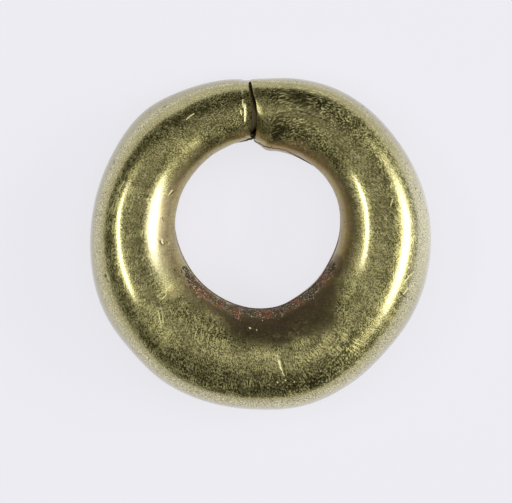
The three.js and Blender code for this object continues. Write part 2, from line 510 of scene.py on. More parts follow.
def sheetMasks(outer, angle, turn):
    # what the gold's material reads: shares from 0 to 1, places along and around the tube in mm,
    # and the pixel of the photograph in which a point lies
    clock = np.radians(measuring["slitClock"] + turn)
    outward, upward = np.cos(np.radians(angle)), np.sin(np.radians(angle))
    freeAngle, _ = freeEdgeAt(turn)
    leftOver = np.where(outward > 0, wear["outerScuffs"], byTurn(wear["boreScuffsByTurn"], turn))
    rubbedOff = (1 - leftOver) * easeBetween(np.abs(outward), *wear["scuffShare"])
    scuffed = byTurn(wear["scuffsByTurn"], turn) * (1 - rubbedOff)
    strokesLeft = wear["strokesUnscuffed"] + (1 - wear["strokesUnscuffed"]) * scuffed
    dustAndReflectionFrom = byTurn(wear["dustAndReflectionByTurn"], turn)
    onTop = upward > wear["topSine"][0]
    frayedFrom, frayedTo = wear["frayedAngles"]
    frayed = 1 - easeBetween(angle, freeAngle + frayedFrom, freeAngle + frayedTo)
    frayed = frayed * easeBetween(turn, *wear["frayedTurns"])
    pits = easeBetween(np.abs(outward), *wear["pitShare"])
    # painted highlight: the right flank is painted paler the more it faces the right lamp
    towardsLight = np.maximum(np.cos(clock), 0) ** wear["paintedHighlightPower"]
    pixelX, pixelY = photoPixel(outer)
    return {
        "worn": easeBetween(-outward, *wear["boreShare"]) * byTurn(wear["boreByTurn"], turn),
        "stained": stainStrength(outer, wear["stains"]) * onTop,
        "rusty": stainStrength(outer, wear["rusts"]) * onTop,
        "scuffed": scuffed,
        "crosswise": byTurn(wear["crosswiseByTurn"], turn) * strokesLeft,
        "lengthwise": byTurn(wear["lengthwiseByTurn"], turn) * strokesLeft,
        "hazy": stainStrength(outer, wear["hazesWithPaintedHighlight"]) * onTop,
        "pitted": wear["pitsOnTop"] + (1 - wear["pitsOnTop"]) * pits,
        "dustyPaintedReflection": easeBetween(outward, dustAndReflectionFrom, dustAndReflectionFrom + wear["dustAndReflectionFade"]),
        # painted shade at the outline
        "edge": easeBetween(outward, *wear["paintedShadeEdgeShare"]),
        "paintedHighlightEdge": easeBetween(outward, *wear["paintedHighlightShare"]) * towardsLight,
        "frayed": frayed,
        "onTop": easeBetween(upward, *wear["topSine"]),
        "along": np.radians(turn) * centreRadiusAt(turn),
        "around": np.radians(angle - 90) * tubeRadiusAt(turn),
        "photoAcross": pixelX,
        "photoDown": pixelY,
    }


def buildSheet():
    form = sheetForm
    degreesPerMm = math.degrees(1 / float(centreRadiusAt(0.0)))
    rim = np.array(form["rimLoops"]) * degreesPerMm
    middleTurns = np.linspace(rim[-1], 360 - rim[-1], form["turnSteps"])
    turns = np.concatenate([rim[:-1], middleTurns, 360 - rim[:-1][::-1]])

    freeAngle, freeThick = freeEdgeAt(turns)
    count = form["facesAround"]
    share = np.linspace(0, 1, count + 1)
    # closer together by the free edge, where the lap shows
    share = share - form["bunching"] * np.sin(2 * math.pi * share) / math.pi
    turnGrid = np.repeat(turns[:, None], count + 1, 1)
    angleGrid = freeAngle[:, None] + (form["hiddenEdge"] + 360 - freeAngle[:, None]) * share[None, :]
    reach = tubeRadiusAt(turnGrid) + standAt(turnGrid, angleGrid)
    shift = endShift(turnGrid, angleGrid)

    outer = placeOnRing(turnGrid, angleGrid, reach, shift)
    onTop = np.sin(np.radians(angleGrid)) > form["dentsAbove"]
    outer = placeOnRing(turnGrid, angleGrid, reach - dentDepth(outer) * onTop, shift)
    outer[..., 2] = np.maximum(outer[..., 2], 0.0)

    # thin at the burnished free edge, full elsewhere
    pick = slice(None, None, form["innerShare"])
    full = easeBetween(angleGrid - freeAngle[:, None], *form["thinTo"])
    thick = freeThick[:, None] + (form["thickness"] - freeThick[:, None]) * full
    inner = placeOnRing(turnGrid[:, pick], angleGrid[:, pick], (reach - thick)[:, pick], shift[:, pick])
    inner[..., 2] = np.maximum(inner[..., 2], form["thickness"])

    # a rounded free edge between the inner and the outer surface
    edge = []
    middle, half = (outer[:, 0] + inner[:, 0]) / 2, (outer[:, 0] - inner[:, 0]) / 2
    bulge = outer[:, 0] - outer[:, 1]
    bulge /= np.linalg.norm(bulge, axis=-1, keepdims=True)
    for i in range(form["edgePoints"]):
        part = math.pi * (i + 1) / (form["edgePoints"] + 1)
        edge.append(middle - half * math.cos(part) + bulge * freeThick[:, None] / 2 * math.sin(part))
    edge = np.stack(edge, 1)

    loops = np.concatenate([outer, inner[:, ::-1], edge], 1)
    perLoop = loops.shape[1]
    masks = {}
    for name, values in sheetMasks(outer, angleGrid, turnGrid).items():
        masks[name] = np.zeros(loops.shape[:2])
        masks[name][:, : count + 1] = values
        masks[name][:, -form["edgePoints"] :] = values[:, :1]

    faces = sweptFaces(len(turns), perLoop)
    innerCount = inner.shape[1]
    lastInner = count + innerCount  # the inner point under the free edge
    cap = []
    for j in range(innerCount - 1):
        outerRun = list(range(j * form["innerShare"], (j + 1) * form["innerShare"] + 1))
        cap.append(outerRun + [lastInner - j - 1, lastInner - j])
    cap.append([lastInner, *range(lastInner + 1, perLoop), 0])
    last = (len(turns) - 1) * perLoop
    faces += [tuple(polygon) for polygon in cap]
    faces += [tuple(last + i for i in reversed(polygon)) for polygon in cap]
    return makeMesh("goldSheet", loops.reshape(-1, 3), faces, {k: v.ravel() for k, v in masks.items()})


goldSheet = buildSheet()
print("gold sheet wrapped:", len(goldSheet.data.polygons), "faces")


# The rod inside, drawn to the same form as the sheet and a hair smaller
rodForm = {
    "clearance": 0.02,
    "turnSteps": 360,
    "pointsAround": 72,
    "fromSlit": 0.50,
    "roughness": 0.008,
    "lumpSize": (0.5, 15),  # mm along the rod and degrees round it
}


def buildRod():
    form = rodForm
    turns = np.linspace(0, 360, form["turnSteps"] + 1)
    angles = np.linspace(0, 360, form["pointsAround"], endpoint=False)
    turnGrid, angleGrid = np.meshgrid(turns, angles, indexing="ij")
    radius = tubeRadiusAt(turnGrid)
    gap = sheetForm["thickness"] + form["clearance"] + sheetForm["collar"]["step"]
    reach = radius + workedForm(turnGrid, angleGrid) - gap
    lumpLong, lumpRound = form["lumpSize"]
    arc = np.radians(turnGrid) * centreRadiusAt(turnGrid)
    lumps = softNoise(arc / lumpLong, angleGrid / lumpRound, noiseDraws["rod"])
    reach -= form["roughness"] * (1 + lumps) / 2
    localRadius = centreRadiusAt(turnGrid) + radius * np.cos(np.radians(angleGrid))
    fade = sheetForm["endFade"]
    nearLeft, nearRight = 1 - easeBetween(turnGrid, 0, fade), 1 - easeBetween(360 - turnGrid, 0, fade)
    shift = np.degrees(form["fromSlit"] / localRadius) * (nearLeft - nearRight)
    points = placeOnRing(turnGrid, angleGrid, reach, shift)
    perLoop = len(angles)
    last = (len(turns) - 1) * perLoop
    faces = sweptFaces(len(turns), perLoop)
    faces += [tuple(range(perLoop)), tuple(last + i for i in reversed(range(perLoop)))]
    return makeMesh("coreRod", points.reshape(-1, 3), faces)


coreRod = buildRod()
print("rod drawn:", len(coreRod.data.polygons), "faces")


# The discs in the two ends. The left one bulges towards the slit near the bore, the right one lies flat.
# A bulge is [height, share outwards of its ridge, width].
discForm = {
    "left": {"recess": 0.03, "bulge": [0.37, -0.50, 0.62]},
    "right": {"recess": 0.06, "bulge": [0.0, 0, 1.0]},
    "rings": 30,
    "shoulder": 16,  # the higher, the tighter the bulge's edge
    "spokes": 96,
    "backAt": 0.45,  # from the slit's middle
    "clearance": 0.026,
    "masks": {"worn": 0.5, "pitted": 0.6, "scuffed": 1.0, "crosswise": 0.5, "lengthwise": 0.5},
}


def buildDisc(side):
    form = discForm[side]
    turn, sign = (0.0, 1) if side == "left" else (360.0, -1)
    radius = float(tubeRadiusAt(turn))
    spokes = discForm["spokes"]
    angles = np.linspace(0, 360, spokes, endpoint=False)
    inset = sheetForm["thickness"] + sheetForm["rimTurnIn"] + sheetForm["collar"]["step"]
    rim = radius + workedForm(np.full(spokes, turn), angles) - inset - discForm["clearance"]
    clock = math.radians(measuring["slitClock"] + turn)
    outWay = np.array([math.cos(clock), math.sin(clock), 0])
    awayWay = np.array([-math.sin(clock), math.cos(clock), 0]) * sign
    centre = np.array([*boreMiddle, 0]) + outWay * float(centreRadiusAt(turn)) + np.array([0, 0, radius])
    height, bulgeOut, bulgeWidth = form["bulge"]

    def ring(share, back=None):
        outPart = rim * share * np.cos(np.radians(angles)) / radius
        upPart = rim * share * np.sin(np.radians(angles)) / radius
        if back is None:
            bulge = height * np.exp(-(((outPart - bulgeOut) / bulgeWidth) ** 2))
            bulge = bulge * (1 - share ** discForm["shoulder"])
            away = endOffset(side, outPart, upPart) + form["recess"] - bulge
        else:
            away = np.full(spokes, back)
        return (
            centre
            + (outPart * radius)[:, None] * outWay
            + (upPart * radius)[:, None] * np.array([0, 0, 1])
            + away[:, None] * awayWay
        )

    shares = np.sin(np.linspace(0, math.pi / 2, discForm["rings"] + 1))[1:]
    rings = [ring(share) for share in shares] + [ring(1.0, discForm["backAt"])]
    points = np.concatenate(rings + [ring(0.0)[:1], ring(0.0, discForm["backAt"])[:1]])
    faces = sweptFaces(len(rings), spokes)
    front, back, backFrom = len(points) - 2, len(points) - 1, (len(rings) - 1) * spokes
    for i in range(spokes):
        j = (i + 1) % spokes
        faces.append((front, i, j))
        faces.append((back, backFrom + j, backFrom + i))
    if side == "right":
        faces = [tuple(reversed(face)) for face in faces]
    masks = {name: np.full(len(points), amount) for name, amount in discForm["masks"].items()}
    masks["along"] = (points - centre) @ outWay
    masks["around"] = points[:, 2]
    return makeMesh("endDisc" + side.capitalize(), points, faces, masks)


endDiscLeft = buildDisc("left")
endDiscRight = buildDisc("right")
print("end discs seated")


# The crust: copper corrosion that has crept out of the lap, along the lower bore
crustForm = {
    "turns": (112.0, 244.0),
    "angles": (143.0, 184.0),
    "turnSteps": 700,
    "angleSteps": 44,
    "patches": [  # [turn, half width in degrees, strength]
        [137, 8, 1.0], [150, 3, 0.9], [163, 4, 0.9], [181, 7, 1.0], [203, 6, 1.0], [227, 7, 1.0],
    ],
    "middleAngle": 163.0,
    "halfAngle": 13.0,
    "cover": (0.80, 0.50, 0.50),  # base, added by a patch, threshold
    "grains": [(0.40, 0.30), (0.12, 0.35), (0.055, 0.30)],  # [size, strength]
    "height": 0.030,
    "buried": 0.035,
    "under": 1.2,  # of the height, how much deeper its underside lies
    "endFade": 4.0,  # degrees
}


def buildCrust():
    form = crustForm
    turns = np.linspace(*form["turns"], form["turnSteps"])
    angles = np.linspace(*form["angles"], form["angleSteps"])
    turnGrid, angleGrid = np.meshgrid(turns, angles, indexing="ij")
    patch = np.zeros_like(turnGrid)
    for turn, half, strength in form["patches"]:
        patch = np.maximum(patch, strength * np.exp(-(((turnGrid - turn) / half) ** 2)))
    arc = np.radians(turnGrid) * centreRadiusAt(turnGrid)
    around = np.radians(angleGrid) * tubeRadiusAt(turnGrid)
    band = np.exp(-(((angleGrid - form["middleAngle"]) / form["halfAngle"]) ** 2))
    everywhere, byPatch, threshold = form["cover"]
    cover = band * (everywhere + byPatch * patch) - threshold
    for index, (size, strength) in enumerate(form["grains"]):
        cover = cover + strength * softNoise(arc / size, around / size, noiseDraws["crust"] + index)
    height = np.clip(cover, -1, 1) * form["height"]
    base = tubeRadiusAt(turnGrid) + standAt(turnGrid, angleGrid + 360)
    edge = np.minimum(np.minimum(turnGrid - turns[0], turns[-1] - turnGrid) / form["endFade"], 1)
    top = placeOnRing(turnGrid, angleGrid, base - form["buried"] * (1 - edge) + height * edge)
    under = placeOnRing(turnGrid, angleGrid, base - form["buried"] - form["height"] * form["under"])
    loops = np.concatenate([top, under[:, ::-1]], 1)
    perLoop = loops.shape[1]
    faces = sweptFaces(len(turns), perLoop)
    count = len(angles)
    last = (len(turns) - 1) * perLoop
    for i in range(count - 1):
        cap = (i, i + 1, perLoop - 2 - i, perLoop - 1 - i)
        faces += [cap, tuple(last + j for j in reversed(cap))]
    red = np.concatenate([patch, patch[:, ::-1]], 1)
    return makeMesh("copperCrust", loops.reshape(-1, 3), faces, {"red": red.ravel()})


copperCrust = buildCrust()
print("crust laid along the bore")


# Materials
def addNode(tree, kind, **settings):
    made = tree.nodes.new("ShaderNode" + kind)
    for key, value in settings.items():
        setattr(made, key, value)
    return made


def setSocket(made, name, value):
    made.inputs[name].default_value = value


def join(tree, source, made, name):
    tree.links.new(source, made.inputs[name])


def calculate(tree, operation, first, second=None, clamp=False):
    # one sum; each side is a socket or a number
    made = addNode(tree, "Math", operation=operation)
    for index, side in enumerate((first, second)):
        if isinstance(side, (int, float)):
            made.inputs[index].default_value = side
        elif side is not None:
            tree.links.new(side, made.inputs[index])
    if not clamp:
        return made.outputs[0]
    # as sums of their own, because Cycles puts a node's own clamp off and keeps too many numbers meanwhile
    return calculate(tree, "MINIMUM", calculate(tree, "MAXIMUM", made.outputs[0], 0.0), 1.0)


def times(tree, first, second):
    return calculate(tree, "MULTIPLY", first, second)


def spread(tree, source, low, high, toLow=0.0, toHigh=1.0):
    made = addNode(tree, "MapRange", interpolation_type="SMOOTHSTEP")
    join(tree, source, made, "Value")
    for name, value in (("From Min", low), ("From Max", high), ("To Min", toLow), ("To Max", toHigh)):
        setSocket(made, name, value)
    return made.outputs["Result"]


def blend(tree, share, first, second):
    # a colour between two, each a socket or a plain colour
    made = addNode(tree, "Mix", data_type="RGBA")
    join(tree, share, made, "Factor")
    for index, side in ((6, first), (7, second)):  # the node's two colours, and 2 the colour that it gives
        if isinstance(side, tuple):
            made.inputs[index].default_value = side
        else:
            tree.links.new(side, made.inputs[index])
    return made.outputs[2]


def texture(tree, kind, place, scale, turn=(0, 0, 0), start=(0, 0, 0), **settings):
    # one of Blender's textures, stretched, turned and moved
    mapping = addNode(tree, "Mapping", vector_type="TEXTURE")
    join(tree, place, mapping, "Vector")
    setSocket(mapping, "Location", start)
    setSocket(mapping, "Rotation", [math.radians(angle) for angle in turn])
    setSocket(mapping, "Scale", scale)
    made = addNode(tree, kind, **settings)
    join(tree, mapping.outputs[0], made, "Vector")
    setSocket(made, "Scale", 1.0)
    return made


def noise(tree, place, size, detail=0.0, turn=(0, 0, 0)):
    # with features of this size in mm, one number or three
    sizes = (size,) * 3 if isinstance(size, (int, float)) else size
    made = texture(tree, "TexNoise", place, [value * toMetres for value in sizes], turn)
    setSocket(made, "Detail", detail)
    return made


def grain(tree, place, size, detail=0.0, turn=(0, 0, 0)):
    return noise(tree, place, size, detail, turn).outputs["Fac"]


def startMaterial(name):
    material = bpy.data.materials.new(name)
    material.use_nodes = True
    return material, material.node_tree, material.node_tree.nodes["Principled BSDF"]


def addBump(tree, shader, height):
    # height in mm
    bump = addNode(tree, "Bump")
    setSocket(bump, "Distance", toMetres)
    join(tree, height, bump, "Height")
    join(tree, bump.outputs[0], shader, "Normal")


def vertexMask(tree, name):
    made = addNode(tree, "Attribute", attribute_name=name)
    return made.outputs["Fac"]


# The gold: pale and a little green, brown with wear along the bore
goldLook = {
    "color": (0.355, 0.315, 0.100, 1),  # between the scratches
    "freshAndPaintedGlintColor": (0.98, 0.91, 0.42, 1),  # and in them, and in the painted glints of the lighter single marks
    # paler where a highlight lies: a painted highlight
    "hazePaintedHighlightColor": (1.0, 0.90, 0.66, 1),
    "hazePaintedHighlightShare": 0.5,
    "boreColor": (0.40, 0.31, 0.19, 1),
    "stainColor": (0.19, 0.135, 0.08, 1),
    "rustColor": (0.36, 0.22, 0.085, 1),
    # dust, together with a painted reflection of the pale table on the outer flank
    "dustAndReflectionColor": (0.84, 0.78, 0.42, 1),
    "dustAndReflectionDark": (0.22, 0.19, 0.08, 1),
    # painted shade at the outline
    "paintedShadeEdgeColor": (0.42, 0.385, 0.22, 1),
    # a painted highlight on the right flank, streaked
    "paintedHighlightColor": (0.92, 0.88, 0.57, 1),
    "paintedHighlightDark": (0.52, 0.49, 0.29, 1),
    "frayedColor": (0.60, 0.58, 0.46, 1),
    "pitColor": (0.06, 0.05, 0.03, 1),
    "polished": 0.15,  # roughness where the gold is smooth
    "hazed": 0.26,  # where it is hazy
    "rubbed": 0.50,  # and where it is scratched
    "hazeSize": (0.018, 0.05, 0.03),
    "hazeShare": (0.50, 0.56),
    # scratches: [direction in degrees from along the tube, length, width, the mask that shows them]
    "fine": [[84, 0.15, 0.046, "scuffed"], [38, 0.13, 0.044, "scuffed"], [8, 0.15, 0.046, "lengthwise"]],
    "fineDepth": 0.00012,  # mm
    "strokes": [
        [92, 0.26, 0.048, "crosswise"],
        [72, 0.22, 0.046, "crosswise"],
        [101, 0.80, 0.050, "crosswise"],
        [5, 0.28, 0.048, "lengthwise"],
        [164, 0.24, 0.046, "lengthwise"],
        [14, 0.90, 0.050, "lengthwise"],
        [134, 0.13, 0.050, "scuffed"],
        [40, 0.13, 0.050, "scuffed"],
        [88, 0.11, 0.050, "scuffed"],
    ],
    "strokesDepth": 0.0013,
    "strokeShare": (0.16, 0.34),  # of its cell that a scratch fills
    "strokeChance": (0.52, 0.80),  # the cells' own numbers that leave a scratch faint and full
    "flow": [2.2, 0.22],  # size and amount, in mm, of the drift in their directions
    "patchSize": 0.9,  # mm over which one direction of scratches comes and goes
    "patchShare": (0.36, 0.60),
    "patchTurn": (31, 17, 53),  # degrees that each direction's own noise is turned on from the last
    "fineShade": 0.8,  # how bright the fine ones and the strokes show
    "strokeShade": 1.0,
    "scatter": 0.18,  # of the light on a scratch that it scatters
    "rustScatter": 0.35,
    "fleckSize": 0.17,
    "fleckShare": (0.10, 0.24),
    "dulled": {"stained": 0.18, "worn": 0.12, "scuffed": 0.06, "hazy": 0.13},  # how much rougher
    "pitSize": 0.16,
    "pitShare": (0.66, 0.74),
    "pitDepth": 0.012,
    "pitFieldSize": 1.6,
    "pitField": (0.35, 0.65),
    "pitFieldTurn": (20, 40, 60),
    "mottleSize": 0.7,
    "mottleShare": (0.35, 0.65),
    "mottledWear": 0.55,  # how much of the brown is left between the mottles
    "wearOnScratch": 0.35,  # and on a scratch
    "speckleSize": 0.09,
    "speckleShare": (0.35, 0.60),
    "speckledStain": 0.65,
    "scratchOnStain": 0.15,
    "streakSize": (0.09, 0.05, 0.05),
    "streakShare": (0.38, 0.62),
    "streakedRust": 0.4,
    "crackleSize": (0.10, 0.04, 0.04),
    "crackleTurn": (0, 0, 160),
    "crackleShare": (0.40, 0.56),
    "crackleLeast": 0.15,
    "metallic": 1.0,
    "film": [0.80, 0.15, 1.8],  # a thin film of grime: share, roughness and how strongly it mirrors
}

# Single marks, by pixels of the photograph: [from across, down, to across, down, half width, depth in mm,
# shade], lighter where the shade is above nothing and darker where it is below
# the lighter marks are painted glints on the walls of scratches, nicks and pits; the darker ones are dark
# pits together with painted shade in pits, cuts and creases
markForm = {"core": 0.3, "driftSize": 0.2, "drift": 0.6}  # share of a mark that is full, mm, pixels
marks = [
    # the shoulder cut with its painted shade, and painted glints beside it
    [400.5, 292.8, 405.2, 297.0, 0.9, 0.010, -1.0],
    [403.2, 294.5, 408.0, 288.0, 0.8, 0.003, 1.0],
    [405.0, 281.0, 413.8, 271.8, 0.8, 0.003, 1.0],
    [403.0, 284.0, 408.5, 277.5, 0.7, 0.003, 0.7],
    [409.0, 290.0, 414.0, 283.0, 0.7, 0.003, 0.6],
    [393.0, 199.0, 390.6, 206.0, 0.7, 0.002, 0.8],
    [392.0, 182.5, 390.6, 187.5, 0.7, 0.002, 0.7],
    [387.0, 215.0, 386.0, 224.0, 0.6, 0.002, 0.5],
    [105.6, 275.2, 106.2, 276.6, 1.3, 0.020, -1.0],
    [107.0, 279.0, 109.0, 283.0, 0.7, 0.004, -0.6],
    [118.0, 191.0, 124.5, 181.5, 0.7, 0.002, 0.8],
    [113.0, 214.0, 119.0, 198.0, 0.7, 0.002, 0.7],
    [112.0, 208.0, 116.5, 195.0, 0.6, 0.002, 0.6],
    [115.0, 205.0, 121.0, 188.0, 0.6, 0.002, 0.5],
    [158.0, 310.0, 159.5, 318.0, 0.7, 0.003, 0.8],
    [159.5, 318.0, 161.5, 327.0, 0.7, 0.003, 0.8],
    [161.0, 307.0, 162.8, 316.0, 0.7, 0.003, 0.6],
    [162.8, 316.0, 163.2, 325.0, 0.7, 0.003, 0.6],
    [162.0, 299.0, 166.0, 294.8, 0.8, 0.004, 0.8],
    # a bore pit: painted glint on one wall, painted shade on the other
    [168.5, 195.0, 172.4, 190.2, 0.8, 0.006, 0.9],
    [169.8, 196.0, 173.4, 191.6, 0.7, 0.006, -0.9],
    # another bore pit, with a painted glint and painted shade on its walls
    [161.4, 241.8, 162.6, 243.4, 1.2, 0.010, 1.0],
    [160.6, 241.0, 161.2, 244.4, 0.7, 0.008, -1.0],
    [163.8, 241.2, 164.4, 244.4, 0.7, 0.008, -0.9],
    [166.6, 241.6, 167.6, 242.6, 0.9, 0.008, -0.8],
    [162.2, 217.4, 163.4, 221.0, 0.8, 0.006, -0.8],
    [161.8, 219.5, 162.2, 222.5, 0.6, 0.003, 0.7],
    [174.2, 269.4, 175.0, 270.6, 0.9, 0.006, -0.8],
    [186.4, 119.4, 193.8, 113.4, 0.8, 0.004, 0.9],
    # painted shade in the top crease
    [299.0, 110.6, 312.0, 115.2, 0.7, 0.006, -0.8],
    [312.0, 115.2, 329.0, 121.4, 0.7, 0.006, -0.8],
    # the belly nick: painted glints on its walls, painted shade beside them
    [277.6, 356.0, 279.4, 363.0, 2.6, 0.004, 0.30],
    [278.8, 361.0, 280.6, 368.0, 1.5, 0.006, 0.8],
    [280.4, 367.0, 283.8, 375.4, 0.8, 0.006, 0.8],
    [281.5, 356.0, 282.8, 368.0, 0.8, 0.003, -0.5],
    [259.0, 352.0, 259.4, 360.0, 0.7, 0.002, 0.25],
    [264.0, 350.0, 265.0, 358.0, 0.7, 0.002, 0.30],
    [268.0, 348.0, 268.6, 357.0, 0.7, 0.002, 0.35],
    [272.0, 351.0, 272.6, 360.0, 0.8, 0.002, 0.35],
    [275.0, 354.0, 276.0, 362.0, 0.8, 0.002, 0.40],
    [277.0, 382.0, 277.4, 382.4, 1.0, 0.002, 0.9],
    [285.0, 380.0, 285.6, 380.4, 0.9, 0.002, 1.0],
    [294.0, 381.8, 294.4, 382.0, 0.8, 0.002, 0.8],
    [249.4, 327.6, 250.6, 328.4, 1.0, 0.004, 1.0],
    [256.4, 329.6, 257.0, 330.2, 0.8, 0.004, 0.7],
    # painted shade down the top of the slit
    [248.7, 78.0, 250.2, 85.5, 1.1, 0.004, -1.0],
    # painted glints on the left end's collar
    [242.6, 100.0, 243.4, 107.0, 0.9, 0.004, 1.0],
    [244.4, 104.0, 245.0, 114.0, 0.8, 0.004, 0.9],
    [240.6, 110.0, 241.6, 114.6, 0.8, 0.004, 0.9],
]


def addedTo(tree, total, socket):
    # a running total, added to at once because Cycles keeps few numbers at a time
    return socket if total is None else calculate(tree, "ADD", total, socket)


def addUpClamped(tree, first, *more):
    for socket in more:
        first = calculate(tree, "ADD", first, socket, True)
    return first


def vectorSum(tree, operation, first, second):
    # one sum of two places, each a socket or three numbers
    made = addNode(tree, "VectorMath", operation=operation)
    for index, side in enumerate((first, second)):
        if isinstance(side, tuple):
            made.inputs[index].default_value = side
        else:
            tree.links.new(side, made.inputs[index])
    return made


def flatPlace(tree, first, second):
    # two of the mesh's own numbers as a flat place
    made = addNode(tree, "CombineXYZ")
    join(tree, vertexMask(tree, first), made, "X")
    join(tree, vertexMask(tree, second), made, "Y")
    return made.outputs[0]


def drifting(tree, flat, place, size, amount):
    # the flat place pushed about by noise
    push = noise(tree, place, size).outputs["Color"]
    push = vectorSum(tree, "MULTIPLY", push, (amount, amount, 0)).outputs[0]
    return vectorSum(tree, "ADD", flat, push).outputs[0]


def strokeLines(tree, flat, look, turn, long, wide):
    # short separate lines, one to a cell and each of its own strength; each direction starts elsewhere
    start = (turn, turn * 2, 0)
    made = texture(
        tree, "TexVoronoi", flat, (long, wide, 1), (0, 0, turn), start, voronoi_dimensions="2D"
    )
    line = spread(tree, made.outputs["Distance"], *look["strokeShare"], 1, 0)
    own = addNode(tree, "SeparateColor")
    join(tree, made.outputs["Color"], own, "Color")
    return times(tree, line, spread(tree, own.outputs[0], *look["strokeChance"]))


def patches(tree, place, look, index):
    # where one direction of scratches shows
    turn = [index * degrees for degrees in look["patchTurn"]]
    return spread(tree, grain(tree, place, look["patchSize"], 1.0, turn), *look["patchShare"])


def scratched(tree, place, look):
    # how bright the fine scratches and the strokes show, and the surface's height in mm
    flat = drifting(tree, flatPlace(tree, "along", "around"), place, *look["flow"])
    shown, height = [], None
    for name in ("fine", "strokes"):
        total = None
        for index, (turn, long, wide, mask) in enumerate(look[name]):
            line = strokeLines(tree, flat, look, turn, long, wide)
            line = times(tree, line, vertexMask(tree, mask))
            if name == "strokes":
                line = times(tree, line, patches(tree, place, look, index))
            total = addedTo(tree, total, line)
        shown.append(total)
        height = addedTo(tree, height, times(tree, total, -look[name + "Depth"]))
    return *shown, height


def markShares(tree, place):
    # how near the single marks are, as painted glints (light), dark pits with painted shade (dark), and depth
    size, drift = markForm["driftSize"], markForm["drift"]
    seen = drifting(tree, flatPlace(tree, "photoAcross", "photoDown"), place, size, drift)
    seen = vectorSum(tree, "SUBTRACT", seen, (drift / 2, drift / 2, 0)).outputs[0]
    light, dark, depth = None, None, None
    for fromX, fromY, toX, toY, half, deep, shade in marks:
        alongX, alongY = toX - fromX, toY - fromY
        square = alongX**2 + alongY**2
        share = vectorSum(tree, "DOT_PRODUCT", seen, (alongX / square, alongY / square, 0)).outputs["Value"]
        share = calculate(tree, "SUBTRACT", share, (fromX * alongX + fromY * alongY) / square, True)
        reach = addNode(tree, "VectorMath", operation="SCALE")
        reach.inputs[0].default_value = (alongX, alongY, 0)
        join(tree, share, reach, "Scale")
        nearest = vectorSum(tree, "ADD", reach.outputs[0], (fromX, fromY, 0)).outputs[0]
        away = vectorSum(tree, "DISTANCE", seen, nearest).outputs["Value"]
        near = spread(tree, away, half * markForm["core"], half, abs(shade), 0)
        if shade > 0:
            light = addedTo(tree, light, near)
        else:
            dark = addedTo(tree, dark, near)
        depth = addedTo(tree, depth, times(tree, near, -deep))
    onTop = vertexMask(tree, "onTop")
    return [times(tree, found, onTop) for found in (light, dark, depth)]


